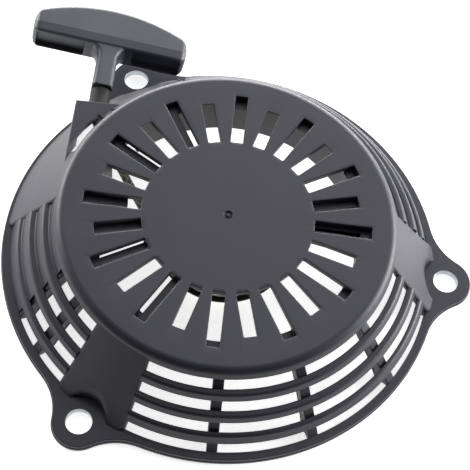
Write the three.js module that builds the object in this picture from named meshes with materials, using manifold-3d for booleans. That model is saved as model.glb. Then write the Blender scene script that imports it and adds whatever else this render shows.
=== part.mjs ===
// Recoil starter of a small vertical-shaft engine, in millimetres, +Z up.
// The origin is on the crankshaft axis in the plane that bolts down on the engine's fan housing.
// The pull handle lies along +Y from the rope guide, and the bolt ears stand at 0, 120 and 240 degrees.
import * as THREE from 'three';
import { mergeVertices } from 'three/addons/utils/BufferGeometryUtils.js';
import Module from 'manifold-3d';

// ---------------------------------------------------------------- driving dimensions
const CLEARANCE = 0.3; // gap left between pieces that touch on the real object
const WALL = 2.3; // moulded wall of the case

const BOLT_RADIUS = 103; // half of the bolt circle
const EAR_ANGLES = [0, 120, 240];
const EAR_RADIUS = 11.8;
const EAR_BLEND = 26; // concave blend from an ear to the rim
const BUSH_BORE = 5.65;
const BUSH_RADIUS = 6.2;
const BUSH_HEIGHT = 3.6;
const SCOOP_RADIUS = 11.2; // spanner room scooped out of the wall above each ear

const RIM_RADIUS = 99.4;
const RIM_BORE = 93.2;
const RIM_RELIEF = 95.3; // wider bore under the air gaps
const RIM_THICKNESS = 4;
const CASE_HEIGHT = 38;
const CROWN_RADIUS = 70.6; // flat part of the crown, before its rounded edge
const CROWN_FILLET = 4.2;

const TREAD_FEET = [77.2, 83.5, 89.8, 95.6]; // inner radius of each louvre tread, top to bottom
const TREAD_HEIGHTS = [29, 21, 13, RIM_THICKNESS];
const LOUVRE_OPENING = 4.2; // height of the air gap above each tread
const RIB_WIDTH = 4.6;
const RIB_PITCH = 80 / 3;
const OPEN_SECTORS = [[10.3, 109.7], [206.6, 229.7], [250.3, 349.7]];
const PANEL_SECTORS = [[-9.9, 10.1], [109.9, 180.8], [229.9, 250.1]];
const PANEL_TOP = [74.7, 34.9]; // radius and height of a sloping panel's edges
const PANEL_FOOT = [97.6, RIM_THICKNESS];
const RIB_ANGLES = [60 - RIB_PITCH, 60, 60 + RIB_PITCH, 206.6, 218.3, 300 - RIB_PITCH, 300, 300 + RIB_PITCH];

const SLOT_COUNT = 24;
const SLOT_WIDTH = 5.6;
const SLOT_INNER = 37.8;
const SLOT_OUTER_LONG = 63;
const SLOT_OUTER_SHORT = 58.2;

const SKIRT_RADIUS = 60.4; // inner ring that guides the cooling air round the starter cup
const SKIRT_BORE = 58.4;
const SKIRT_BOTTOM = 18;
const ROPE_WINDOW = [139, 157]; // gap in the skirt, in degrees, where the rope crosses it
const SPOKE_INNER = 33.5;
const SPOKE_WIDTH = 3;
const POST_RADIUS = 8;
const POST_BOTTOM = 12.6;

const ROPE_RADIUS = 1.9;
const ROPE_AXIS_X = -65.2; // the pull axis runs along +Y through this line
const ROPE_AXIS_Z = 24;
const GUIDE_SIDE_X = -75;
const GUIDE_END_Y = 54;
const GUIDE_TOP = 31.5;

const REEL_RADIUS = 30;
const REEL_HUB_RADIUS = 15;
const REEL_BOTTOM = 12.4;
const GROOVE_BOTTOM = 14;
const GROOVE_TOP = 22.4;
const COIL_RADIUS = 28.6;
const SPRING_CUP_RADIUS = 26.5;

const PAWL_PIVOT_RADIUS = 22.5;
const PAWL_PIVOT_ANGLES = [90, 270];
const PAWL_PIN_RADIUS = 2.2;
const PAWL_REST = -112; // direction of a folded pawl, from the radius through its pivot
const PAWL_SWING = 40; // degrees that each pawl swings out while the ratchet guide lags
const GUIDE_TURN = 25; // degrees that the ratchet guide lags behind the reel
const PAWL_PEG = { along: 7.2, across: 0.8, radius: 1.3 }; // follower peg, in the pawl's own frame

const HANDLE_SPAN = 73;
const HANDLE_ROLL = 8; // degrees that the loose handle has rolled about its rope

const ROUND = 48; // facets round the case
const SMALL_ROUND = 20; // facets round small parts

// ---------------------------------------------------------------- solids and booleans
const wasm = await Module();
wasm.setup();

const radians = THREE.MathUtils.degToRad;

function polar(radius, degrees) {
  return [radius * Math.cos(radians(degrees)), radius * Math.sin(radians(degrees))];
}

/** A manifold solid from a closed three.js geometry, with its faces turned outwards. */
function toSolid(geometry) {
  const bare = geometry.clone();
  bare.deleteAttribute('normal');
  bare.deleteAttribute('uv');
  const merged = mergeVertices(bare, 1e-4);
  const points = merged.attributes.position;
  const index = merged.index.array;
  const triangles = [];
  let volume = 0;
  const [a, b, c] = [new THREE.Vector3(), new THREE.Vector3(), new THREE.Vector3()];
  for (let i = 0; i < index.length; i += 3) {
    const [p, q, r] = [index[i], index[i + 1], index[i + 2]];
    if (p === q || q === r || r === p) continue;
    triangles.push([p, q, r]);
    a.fromBufferAttribute(points, p);
    b.fromBufferAttribute(points, q);
    c.fromBufferAttribute(points, r);
    volume += a.dot(b.cross(c));
  }
  if (volume < 0) triangles.forEach((triangle) => triangle.reverse());
  return new wasm.Manifold(new wasm.Mesh({
    numProp: 3,
    vertProperties: new Float32Array(points.array),
    triVerts: new Uint32Array(triangles.flat()),
  }));
}

function toGeometry(solid) {
  const mesh = solid.getMesh();
  const geometry = new THREE.BufferGeometry();
  geometry.setAttribute('position', new THREE.BufferAttribute(mesh.vertProperties, 3));
  geometry.setIndex(new THREE.BufferAttribute(mesh.triVerts, 1));
  geometry.computeVertexNormals();
  return geometry;
}

function join(first, ...others) {
  return others.reduce((sum, other) => sum.add(other), first);
}

function cut(solid, ...cutters) {
  return cutters.reduce((rest, cutter) => rest.subtract(cutter), solid);
}

/** Solid of revolution about Z from a closed outline of [radius, height] points. */
function revolve(outline, segments = ROUND) {
  const points = [...outline, outline[0]].map(([radius, height]) => new THREE.Vector2(radius, height));
  const geometry = new THREE.LatheGeometry(points, segments);
  geometry.rotateX(Math.PI / 2);
  return toSolid(geometry);
}

function shapeOf(outline) {
  return new THREE.Shape(outline.map(([x, y]) => new THREE.Vector2(x, y)));
}

/** Upright prism over a plan outline of [x, y] points. */
function prism(outline, bottom, top) {
  const geometry = new THREE.ExtrudeGeometry(shapeOf(outline), { depth: top - bottom, bevelEnabled: false });
  geometry.translate(0, 0, bottom);
  return toSolid(geometry);
}

function drum(radius, bottom, top, x = 0, y = 0, segments = SMALL_ROUND) {
  const geometry = new THREE.CylinderGeometry(radius, radius, top - bottom, segments);
  geometry.rotateX(Math.PI / 2);
  geometry.translate(x, y, (top + bottom) / 2);
  return toSolid(geometry);
}

function tube(outer, inner, bottom, top, segments = SMALL_ROUND) {
  return revolve([[inner, bottom], [outer, bottom], [outer, top], [inner, top]], segments);
}

/** Points of an arc from one angle to another, in degrees, about a centre. */
function arc(radius, from, to, steps, [x, y] = [0, 0]) {
  return Array.from({ length: steps + 1 }, (_, i) => {
    const [dx, dy] = polar(radius, from + ((to - from) * i) / steps);
    return [x + dx, y + dy];
  });
}

/** Wedge of a full turn, used to keep or cut one sector. */
function wedge(from, to, bottom = -1, top = CASE_HEIGHT + 2, reach = 130) {
  return prism([[0, 0], ...arc(reach, from, to, Math.ceil((to - from) / 12))], bottom, top);
}

/** Upright radial plate at an angle, from a closed outline of [radius, height] points. */
function radialPlate(outline, degrees, width) {
  const geometry = new THREE.ExtrudeGeometry(shapeOf(outline), { depth: width, bevelEnabled: false });
  geometry.translate(0, 0, -width / 2);
  geometry.rotateX(Math.PI / 2);
  geometry.rotateZ(radians(degrees));
  return toSolid(geometry);
}

/** Tube along a curve, with flat ends. */
function tubeAlong(curve, radius, steps, sides = 10) {
  const section = shapeOf(arc(radius, 0, 360, sides).slice(0, -1));
  return toSolid(new THREE.ExtrudeGeometry(section, { steps, bevelEnabled: false, extrudePath: curve }));
}

class Spiral extends THREE.Curve {
  /** Helix or flat spiral about Z: radii and heights go from first to second value. */
  constructor(radii, heights, from, turns) {
    super();
    Object.assign(this, { radii, heights, from, turns });
  }

  getPoint(t, target = new THREE.Vector3()) {
    const angle = this.from + 360 * this.turns * t;
    const radius = THREE.MathUtils.lerp(...this.radii, t);
    return target.set(...polar(radius, angle), THREE.MathUtils.lerp(...this.heights, t));
  }
}

// ---------------------------------------------------------------- materials
function material(color, roughness, metalness) {
  return new THREE.MeshStandardMaterial({ color, roughness, metalness });
}

const blackPlastic = material('#4b4b53', 0.5, 0);
const gripPlastic = material('#5c5c61', 0.45, 0);
const sleeveRubber = material('#232326', 0.7, 0);
const reelPlastic = material('#2b2b2e', 0.5, 0);
const guidePlastic = material('#d8d5c8', 0.5, 0);
const ropeNylon = material('#c9c7c0', 0.9, 0);
const springSteel = material('#7d8085', 0.35, 1);
const zincSteel = material('#b9bcc0', 0.35, 1);

const starter = new THREE.Group();

function addPart(name, solid, finish, parent = starter) {
  const mesh = new THREE.Mesh(toGeometry(solid), finish);
  mesh.name = name;
  parent.add(mesh);
  return mesh;
}

// ---------------------------------------------------------------- case
/** Outer outline of the stepped wall, from the crown's rounded edge down to the rim. */
function steppedOutside() {
  const edge = arc(CROWN_FILLET, 90, 12, 3, [CROWN_RADIUS, CASE_HEIGHT - CROWN_FILLET]);
  const steps = TREAD_FEET.slice(0, 3).flatMap((foot, i) => {
    const height = TREAD_HEIGHTS[i];
    return [[foot, height], [foot + 2.2, height], [foot + 3.6, height - 1.4]];
  });
  return [...edge, ...steps, [TREAD_FEET[3], RIM_THICKNESS]];
}

/** Inner outline of the stepped wall, from the rim up to the underside of the crown. */
function steppedInside() {
  const steps = TREAD_FEET.slice(0, 3).flatMap((foot, i) => {
    const underside = TREAD_HEIGHTS[i] - WALL;
    return [[foot - 2, underside], [foot + 1.6, underside]];
  });
  const topDown = [[CROWN_RADIUS, CASE_HEIGHT - WALL], [72.3, 33.5], ...steps, [93.4, 3]];
  return topDown.reverse();
}

function hollowUnderWall() {
  return revolve([[0, CASE_HEIGHT - WALL], [0, -1], [RIM_BORE, -1], ...steppedInside()]);
}

function steppedWall() {
  const crown = [[0, CASE_HEIGHT - WALL], [0, CASE_HEIGHT]];
  return revolve([...crown, ...steppedOutside(), [RIM_BORE, RIM_THICKNESS], ...steppedInside()]);
}

/** Air gaps: each takes away the foot of a riser, in the open sectors only. */
function louvreGaps() {
  const rings = TREAD_FEET.map((foot, i) => {
    const height = TREAD_HEIGHTS[i];
    const bottom = i === 3 ? height + 0.9 : height - WALL - 1;
    return revolve([
      [foot - 5.2, bottom],
      [foot + 0.05, bottom],
      [foot + 0.05, height + LOUVRE_OPENING],
      [foot - 5.2, height + LOUVRE_OPENING],
    ]);
  });
  const sectors = OPEN_SECTORS.map(([from, to]) => wedge(from, to));
  return join(...rings).intersect(join(...sectors));
}

/** Smooth sloping panels that bridge the steps at the ears and behind the rope guide. */
function slopingPanels() {
  const band = revolve([PANEL_TOP, PANEL_FOOT, [94.8, RIM_THICKNESS], [76.4, 28.4], [73.9, 33.4]]);
  return band.intersect(join(...PANEL_SECTORS.map(([from, to]) => wedge(from, to))));
}

/** Room above the sloping panels, where the steps are left out. */
function overPanels() {
  const corner = [PANEL_FOOT[0] + 4, PANEL_TOP[1]];
  const room = revolve([PANEL_TOP, PANEL_FOOT, [corner[0], PANEL_FOOT[1]], corner]);
  return room.intersect(join(...PANEL_SECTORS.map(([from, to]) => wedge(from, to))));
}

function louvreRib(degrees) {
  const outline = [
    [76.9, 29], [95.2, 4.2], [96.6, 3.8], [96.6, 1], [88.4, 1], [86.5, 7], [70.5, 28], [70.5, 35],
  ];
  return radialPlate(outline, degrees, RIB_WIDTH);
}

/** Outline of the rim plate: the round rim with three ears blended into it. */
function rimOutline() {
  const reach = RIM_RADIUS + EAR_BLEND;
  const side = EAR_RADIUS + EAR_BLEND;
  const cosine = (BOLT_RADIUS ** 2 + reach ** 2 - side ** 2) / (2 * BOLT_RADIUS * reach);
  const spread = THREE.MathUtils.radToDeg(Math.acos(cosine));
  const [bx, by] = polar(reach, spread);
  const tilt = THREE.MathUtils.radToDeg(Math.atan2(by, bx - BOLT_RADIUS));
  return EAR_ANGLES.flatMap((ear) => {
    const centre = polar(BOLT_RADIUS, ear);
    return [
      ...arc(EAR_BLEND, ear - spread + 180, ear - tilt + 180, 5, polar(reach, ear - spread)),
      ...arc(EAR_RADIUS, ear - tilt, ear + tilt, 12, centre),
      ...arc(EAR_BLEND, ear + tilt + 180, ear + spread + 180, 5, polar(reach, ear + spread)),
      ...arc(RIM_RADIUS, ear + spread, ear + 120 - spread, 14).slice(1, -1),
    ];
  });
}

function rimPlate() {
  const bore = drum(RIM_BORE, -1, RIM_THICKNESS + 1, 0, 0, ROUND);
  const relief = drum(RIM_RELIEF, -1, RIM_THICKNESS + 1, 0, 0, ROUND);
  const openArcs = join(...OPEN_SECTORS.map(([from, to]) => wedge(from, to)));
  return cut(prism(rimOutline(), 0, RIM_THICKNESS), bore, relief.intersect(openArcs));
}

/** Backing of the scoop over an ear, kept under the slope of the panel. */
function scoopBacking() {
  const underPanel = revolve([[0, 0.4], [97.4, 0.4], [97.4, 4], [76, 33], [0, 33]]);
  const pads = EAR_ANGLES.map((ear) => drum(SCOOP_RADIUS + 2, 0.4, 22, ...polar(BOLT_RADIUS, ear)));
  return join(...pads).intersect(underPanel);
}

function scoops() {
  return join(...EAR_ANGLES.map((ear) => drum(SCOOP_RADIUS, RIM_THICKNESS, 40, ...polar(BOLT_RADIUS, ear))));
}

function bushHoles() {
  const radius = BUSH_RADIUS + CLEARANCE;
  return join(...EAR_ANGLES.map((ear) => drum(radius, -1, 5, ...polar(BOLT_RADIUS, ear))));
}

function airSlots() {
  const slots = Array.from({ length: SLOT_COUNT }, (_, i) => {
    const outer = i % 2 === 0 ? SLOT_OUTER_LONG : SLOT_OUTER_SHORT;
    const half = SLOT_WIDTH / 2;
    const slot = [[SLOT_INNER, -half], [outer, -half], [outer, half], [SLOT_INNER, half]];
    const geometry = new THREE.ExtrudeGeometry(shapeOf(slot), { depth: 4, bevelEnabled: false });
    geometry.rotateZ(radians((360 / SLOT_COUNT) * i));
    geometry.translate(0, 0, CASE_HEIGHT - WALL - 0.2);
    return toSolid(geometry);
  });
  return join(...slots);
}

/** Ring, spokes and centre post that hang under the crown. */
function innerRibs() {
  const under = CASE_HEIGHT - WALL + 0.2;
  const ring = tube(SKIRT_RADIUS, SKIRT_BORE, SKIRT_BOTTOM, under, ROUND);
  const skirt = cut(ring, wedge(...ROPE_WINDOW, 0, under - 3));
  const reach = SKIRT_BORE + 1;
  const side = [[SPOKE_INNER, 26], [reach, SKIRT_BOTTOM], [reach, under], [SPOKE_INNER, under]];
  const spokes = EAR_ANGLES.map((ear) => radialPlate(side, ear, SPOKE_WIDTH));
  const post = cut(drum(POST_RADIUS, POST_BOTTOM, under), drum(2.9, POST_BOTTOM - 1, 27));
  return join(skirt, post, ...spokes);
}

/** Box beside the crown that brings the rope out towards the handle. */
function ropeGuide() {
  const outline = [
    [GUIDE_SIDE_X, 12.5],
    ...arc(74.2, 170.4, 133.4, 8),
    [-51.8, GUIDE_END_Y + 0.9],
    [GUIDE_SIDE_X, GUIDE_END_Y],
  ];
  return cut(prism(outline, 5, GUIDE_TOP), hollowUnderWall());
}

function ropeGuideHollow() {
  const side = GUIDE_SIDE_X + WALL;
  const end = GUIDE_END_Y - WALL;
  const hollow = prism([[side, end], ...arc(76.8, 160.6, 138.4, 6), [-57.2, end]], -1, GUIDE_TOP - WALL);
  const crescent = prism([...arc(77, 143.2, 160.9, 6), ...arc(74.4, 160.9, 143.2, 6)], -1, CASE_HEIGHT);
  const pocket = prism([[-58.8, 51.2], [-57.3, 47.6], [-55.3, 49.9]], 20, CASE_HEIGHT);
  const eyeletHole = toSolid(
    new THREE.CylinderGeometry(4.2, 4.2, 8, SMALL_ROUND).translate(ROPE_AXIS_X, GUIDE_END_Y, ROPE_AXIS_Z),
  );
  const noseSeat = toSolid(
    new THREE.CylinderGeometry(5.4, 5.4, 12, SMALL_ROUND).translate(ROPE_AXIS_X, GUIDE_END_Y + 6, ROPE_AXIS_Z),
  );
  return join(hollow, crescent, pocket, eyeletHole, noseSeat);
}

function buildCase() {
  let shell = cut(steppedWall(), louvreGaps(), overPanels());
  shell = join(shell, slopingPanels(), ...RIB_ANGLES.map(louvreRib), rimPlate(), scoopBacking());
  shell = join(shell, ropeGuide(), innerRibs());
  addPart('recoil_case', cut(shell, scoops(), bushHoles(), airSlots(), ropeGuideHollow()), blackPlastic);

  EAR_ANGLES.forEach((ear, i) => {
    const bush = tube(BUSH_RADIUS, BUSH_BORE, 0, BUSH_HEIGHT);
    const mesh = addPart(`ear_bush_${i + 1}`, bush, zincSteel);
    mesh.position.set(...polar(BOLT_RADIUS, ear), 0);
  });
}

// ---------------------------------------------------------------- rope and its eyelet
const ropeTangent = 26.9; // radius at which the rope leaves the wound coil

function ropePoints() {
  const eyelet = new THREE.Vector3(ROPE_AXIS_X, GUIDE_END_Y - 6, ROPE_AXIS_Z);
  const distance = Math.hypot(eyelet.x, eyelet.y);
  const centreward = Math.atan2(-eyelet.y, -eyelet.x);
  const heading = centreward - Math.asin(ropeTangent / distance);
  const length = Math.sqrt(distance ** 2 - ropeTangent ** 2);
  const start = new THREE.Vector3(
    eyelet.x + length * Math.cos(heading),
    eyelet.y + length * Math.sin(heading),
    (GROOVE_BOTTOM + GROOVE_TOP) / 2,
  );
  return { start, eyelet };
}

function buildRope() {
  const { start, eyelet } = ropePoints();
  const mouth = new THREE.Vector3(ROPE_AXIS_X, GUIDE_END_Y - 2, ROPE_AXIS_Z);
  const leaving = start.clone().lerp(eyelet, 0.22);
  const straight = new THREE.Vector3(ROPE_AXIS_X, mouth.y - 2, ROPE_AXIS_Z);
  const bend = start.clone().lerp(eyelet, 0.94);
  const path = new THREE.CatmullRomCurve3([leaving, start.clone().lerp(eyelet, 0.5), bend, straight, mouth]);
  addPart('rope_run', tubeAlong(path, ROPE_RADIUS, 12), ropeNylon);

  const lead = new THREE.LineCurve3(
    new THREE.Vector3(ROPE_AXIS_X, mouth.y + CLEARANCE, ROPE_AXIS_Z),
    new THREE.Vector3(ROPE_AXIS_X, GUIDE_END_Y + 6, ROPE_AXIS_Z),
  );
  addPart('rope_lead', tubeAlong(lead, ROPE_RADIUS, 1), ropeNylon);

  const collar = new THREE.LatheGeometry(
    [[2.4, 0], [5, 0], [5, 1.5], [3.9, 1.5], [3.9, 3.9], [2.9, 3.9], [2.4, 3.2], [2.4, 0]]
      .map(([radius, along]) => new THREE.Vector2(radius, along)),
    SMALL_ROUND,
  );
  collar.translate(ROPE_AXIS_X, GUIDE_END_Y - WALL - 1.8, ROPE_AXIS_Z);
  addPart('rope_eyelet', toSolid(collar), zincSteel);
}

// ---------------------------------------------------------------- reel, spring and wound rope
function buildReel() {
  const body = revolve([
    [POST_RADIUS + CLEARANCE, REEL_BOTTOM],
    [REEL_RADIUS, REEL_BOTTOM],
    [REEL_RADIUS, GROOVE_BOTTOM],
    [REEL_HUB_RADIUS, GROOVE_BOTTOM],
    [REEL_HUB_RADIUS, GROOVE_TOP],
    [REEL_RADIUS, GROOVE_TOP],
    [REEL_RADIUS, GROOVE_TOP + 1.6],
    [SPRING_CUP_RADIUS, GROOVE_TOP + 1.6],
    [SPRING_CUP_RADIUS, 34.4],
    [SPRING_CUP_RADIUS - 1.9, 34.4],
    [SPRING_CUP_RADIUS - 1.9, 25.3],
    [POST_RADIUS + CLEARANCE, 25.3],
  ], 40);
  const pins = PAWL_PIVOT_ANGLES.map((angle) => (
    drum(PAWL_PIN_RADIUS, 6.5, REEL_BOTTOM + 0.5, ...polar(PAWL_PIVOT_RADIUS, angle), 20)
  ));
  const knotPocket = drum(3.1, REEL_BOTTOM - 1, 18.6, 11.6, 0, 20);
  addPart('reel', cut(join(body, ...pins), knotPocket), reelPlastic);

  const knot = new THREE.SphereGeometry(2.6, 14, 9);
  knot.translate(11.6, 0, 15.6);
  addPart('reel_rope_knot', toSolid(knot), ropeNylon);

  const middle = (GROOVE_BOTTOM + GROOVE_TOP) / 2;
  const half = (GROOVE_TOP - GROOVE_BOTTOM) / 2 - CLEARANCE;
  addPart('rope_coil', revolve([
    [REEL_HUB_RADIUS + CLEARANCE, middle - half],
    [COIL_RADIUS - 1.2, middle - half],
    [COIL_RADIUS, middle - half + 1.2],
    [COIL_RADIUS, middle - 1.1],
    [COIL_RADIUS - 0.9, middle],
    [COIL_RADIUS, middle + 1.1],
    [COIL_RADIUS, middle + half - 1.2],
    [COIL_RADIUS - 1.2, middle + half],
    [REEL_HUB_RADIUS + CLEARANCE, middle + half],
  ], 40), ropeNylon);

  addPart('reel_thrust_washer', tube(11.4, POST_RADIUS + CLEARANCE, 34.75, 35.3), springSteel);
}

/** Flat spiral spring: a ribbon wound from the post out to the reel's cup. */
function buildRecoilSpring() {
  const turns = 6.5;
  const steps = Math.round(turns * 16);
  const [inner, outer] = [9.2, 23.4];
  const ribbon = 0.65;
  const edge = (offset) => Array.from({ length: steps + 1 }, (_, i) => (
    polar(THREE.MathUtils.lerp(inner, outer, i / steps) + offset, (360 * turns * i) / steps)
  ));
  const outline = [...edge(ribbon / 2), ...edge(-ribbon / 2).reverse()];
  addPart('recoil_spring', prism(outline, 25.8, 33.9), springSteel);
}

// ---------------------------------------------------------------- ratchet
/** A pawl in its own frame: pivot at the origin, arm along +X, follower peg below. */
function pawlSolid() {
  const outline = [...arc(4, 80, 280, 9), [5, -3.2], [12.4, -3], [13.7, -1.6], [12.8, 1.4], [6, 3.6]];
  const body = cut(prism(outline, 6.7, 12), drum(PAWL_PIN_RADIUS + CLEARANCE, 6, 13, 0, 0, 20));
  return join(body, drum(PAWL_PEG.radius, 3.3, 7, PAWL_PEG.along, PAWL_PEG.across, 14));
}

/** Where the follower peg stands, in the frame of the ratchet guide, at a share of the guide's turn. */
function pegInGuide(pivotAngle, share) {
  const [px, py] = polar(PAWL_PIVOT_RADIUS, pivotAngle);
  const swing = pivotAngle + PAWL_REST + PAWL_SWING * share;
  const peg = Math.hypot(PAWL_PEG.along, PAWL_PEG.across);
  const lead = THREE.MathUtils.radToDeg(Math.atan2(PAWL_PEG.across, PAWL_PEG.along));
  const [dx, dy] = polar(peg, swing + lead);
  const [x, y] = [px + dx, py + dy];
  const turn = radians(-GUIDE_TURN * share);
  return [x * Math.cos(turn) - y * Math.sin(turn), x * Math.sin(turn) + y * Math.cos(turn)];
}

function buildRatchet() {
  PAWL_PIVOT_ANGLES.forEach((angle, i) => {
    const pawl = addPart(`pawl_${i + 1}`, pawlSolid(), guidePlastic);
    pawl.position.set(...polar(PAWL_PIVOT_RADIUS, angle), 0);
    pawl.rotation.z = radians(angle + PAWL_REST);
  });

  const hub = join(tube(21, 2.9, 3.6, 6.1, 36), tube(7.4, 2.9, 6, 12.3));
  const camSlots = PAWL_PIVOT_ANGLES.map((angle) => {
    const stops = Array.from({ length: 9 }, (_, i) => pegInGuide(angle, i / 8));
    return join(...stops.map(([x, y]) => drum(PAWL_PEG.radius + 0.6, 3, 7, x, y, 14)));
  });
  addPart('ratchet_guide', cut(hub, ...camSlots), guidePlastic);

  const friction = new Spiral([8.5, 8.5], [7.6, 11.2], 20, 2.6);
  addPart('friction_spring', tubeAlong(friction, 0.6, 36, 6), springSteel);
}

function buildScrew() {
  const head = new THREE.CylinderGeometry(5.2, 5.2, 2.2, 6).rotateX(Math.PI / 2).translate(0, 0, 1.5);
  const shank = drum(2.5, 2.4, 24);
  addPart('centre_screw', join(toSolid(head), shank), zincSteel);
  addPart('screw_washer', tube(7.2, 2.85, 2.8, 3.4), zincSteel);
}

// ---------------------------------------------------------------- pull handle
/** The handle's own frame: origin on the pull axis, +Y along the pull. */
function buildHandle() {
  const handle = new THREE.Group();
  handle.position.set(ROPE_AXIS_X, GUIDE_END_Y + CLEARANCE, ROPE_AXIS_Z);
  handle.rotation.y = radians(HANDLE_ROLL);
  starter.add(handle);

  const half = HANDLE_SPAN / 2;
  const crown = new THREE.EllipseCurve(0, -21.5, 76, 76, radians(61.8), radians(118.2), false, 0);
  const back = crown.getPoints(14).map((point) => [point.x, point.y]);
  const barOutline = [
    [half - 3, 33.5],
    [half, 36.5],
    ...back,
    [-half, 36.5],
    [-(half - 3), 33.5],
  ];
  const bar = new THREE.ExtrudeGeometry(shapeOf(barOutline), {
    depth: 8, bevelEnabled: true, bevelThickness: 3.4, bevelSize: 2.6, bevelOffset: -2.6, bevelSegments: 3,
  }).translate(0, 0, -4);

  const [stemHalf, fillet] = [4.6, 7.5];
  const stemOutline = [
    [stemHalf, 11.2],
    ...arc(fillet, 180, 90, 5, [stemHalf + fillet, 35 - fillet]),
    [stemHalf + fillet, 40],
    [-stemHalf - fillet, 40],
    ...arc(fillet, 90, 0, 5, [-stemHalf - fillet, 35 - fillet]),
    [-stemHalf, 11.2],
  ];
  const stem = new THREE.ExtrudeGeometry(shapeOf(stemOutline), {
    depth: 8.8, bevelEnabled: true, bevelThickness: 1.6, bevelSize: 1.2, bevelOffset: -1.2, bevelSegments: 2,
  }).translate(0, 0, -4.4);

  const bore = new THREE.CylinderGeometry(2.4, 2.4, 60, 20).translate(0, 35, 0);
  const knotPocket = new THREE.CylinderGeometry(5, 5, 14, 24).translate(0, 52.5, 0);
  const grip = cut(join(toSolid(bar), toSolid(stem)), toSolid(bore), toSolid(knotPocket));
  addPart('handle_grip', grip, gripPlastic, handle);

  const along = (points) => toSolid(new THREE.LatheGeometry(points.map(([r, y]) => new THREE.Vector2(r, y)), 24));
  addPart('handle_sleeve', along([[2.4, 0], [4, 0], [4.7, 0.8], [4.7, 10.9], [2.4, 10.9], [2.4, 0]]),
    sleeveRubber, handle);
  addPart('handle_washer', along([[2.3, 45.8], [4.6, 45.8], [4.6, 46.6], [2.3, 46.6], [2.3, 45.8]]),
    zincSteel, handle);
  const tail = new THREE.CylinderGeometry(ROPE_RADIUS, ROPE_RADIUS, 40.9, 10).translate(0, 26.45, 0);
  addPart('rope_tail', toSolid(tail), ropeNylon, handle);
  const knot = new THREE.SphereGeometry(3.3, 16, 10).scale(1, 0.72, 1).translate(0, 49.6, 0);
  addPart('handle_rope_knot', toSolid(knot), ropeNylon, handle);
}

buildCase();
buildRope();
buildReel();
buildRecoilSpring();
buildRatchet();
buildScrew();
buildHandle();

export default starter;
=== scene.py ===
"""Finished look of a pull-cord recoil starter, built round its packed frame."""

from math import acos, asin, atan2, ceil, cos, degrees, hypot, pi, radians, sin, sqrt, tan
from types import SimpleNamespace

import bmesh
import bpy
from mathutils import Matrix, Vector


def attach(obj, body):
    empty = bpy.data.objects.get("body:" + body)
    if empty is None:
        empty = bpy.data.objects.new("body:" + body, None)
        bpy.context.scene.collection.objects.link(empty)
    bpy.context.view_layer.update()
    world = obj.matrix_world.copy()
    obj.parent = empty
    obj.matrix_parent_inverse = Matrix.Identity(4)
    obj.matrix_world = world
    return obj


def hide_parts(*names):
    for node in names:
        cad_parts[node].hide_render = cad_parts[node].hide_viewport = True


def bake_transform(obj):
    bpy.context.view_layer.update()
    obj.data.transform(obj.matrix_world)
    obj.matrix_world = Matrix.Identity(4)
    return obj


bl_info = {
    "name": "Recoil Starter",
    "version": (1, 0, 0),
    "blender": (4, 5, 0),
    "location": "3D View > Sidebar > Starter",
    "description": "Builds the finished pieces of a pull-cord recoil starter",
    "category": "Object",
}

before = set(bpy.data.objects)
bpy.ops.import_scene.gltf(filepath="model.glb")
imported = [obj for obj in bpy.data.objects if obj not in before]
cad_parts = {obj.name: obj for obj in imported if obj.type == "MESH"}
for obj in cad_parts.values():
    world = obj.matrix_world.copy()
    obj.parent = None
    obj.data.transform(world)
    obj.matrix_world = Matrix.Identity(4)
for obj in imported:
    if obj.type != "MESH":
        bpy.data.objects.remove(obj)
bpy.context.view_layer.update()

EARS = (0, 120, 240)  # degrees round the crankshaft axis
OPEN_SECTORS = ((10.3, 109.7), (206.6, 229.7), (250.3, 349.7))
CLOSED_SECTORS = ((180.6, 206.8),)
PANEL_SECTORS = ((-10.5, 10.5), (109.5, 180.8), (229.5, 250.5))
RIBS = (33.3, 60, 86.7, 206.6, 218.3, 273.3, 300, 326.7)
SLOTS = 24
# angle and inner radius of each rib under the crown
CROWN_RIBS = ((0, 33.5), (15, 33.5), (150, 33.5), (180, 44), (195, 33.5), (210, 33.5))
RIB_END = 59.5  # ribs and spokes under the crown end in the air skirt
ROPE_SKIRT_GAP = (139, 157)
POST = 8  # radius of the centre post
BUSH_BORE, BUSH_WALL, BUSH_TALL = 5.65, 6.2, 3.6
PULL_X = -65.2  # the rope leaves along +Y through this line
GUIDE_SIDE = -75  # left side of the rope guide
HANDLE_ROLL = 8  # degrees that the loose handle has rolled about its rope


def mm(value):
    """Millimetres to Blender's metres."""
    return value / 1000


def in_mm(group):
    """The lengths of a property group, under the same names, in millimetres."""
    return SimpleNamespace(**{name: getattr(group, name) * 1000 for name in group.__annotations__})


def length(name, description, default):
    return bpy.props.FloatProperty(
        name=name, description=description, default=mm(default), min=0, unit="LENGTH", precision=4
    )


def linear(code):
    """A hex colour as seen on screen, as the linear values that shaders use."""
    shades = [int(code[i : i + 2], 16) / 255 for i in (1, 3, 5)]
    return [c / 12.92 if c <= 0.04045 else ((c + 0.055) / 1.055) ** 2.4 for c in shades]


def colour(name, description, code):
    return bpy.props.FloatVectorProperty(
        name=name, description=description, default=linear(code), size=3, min=0, max=1, subtype="COLOR"
    )


# ---- sizes and colours


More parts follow.
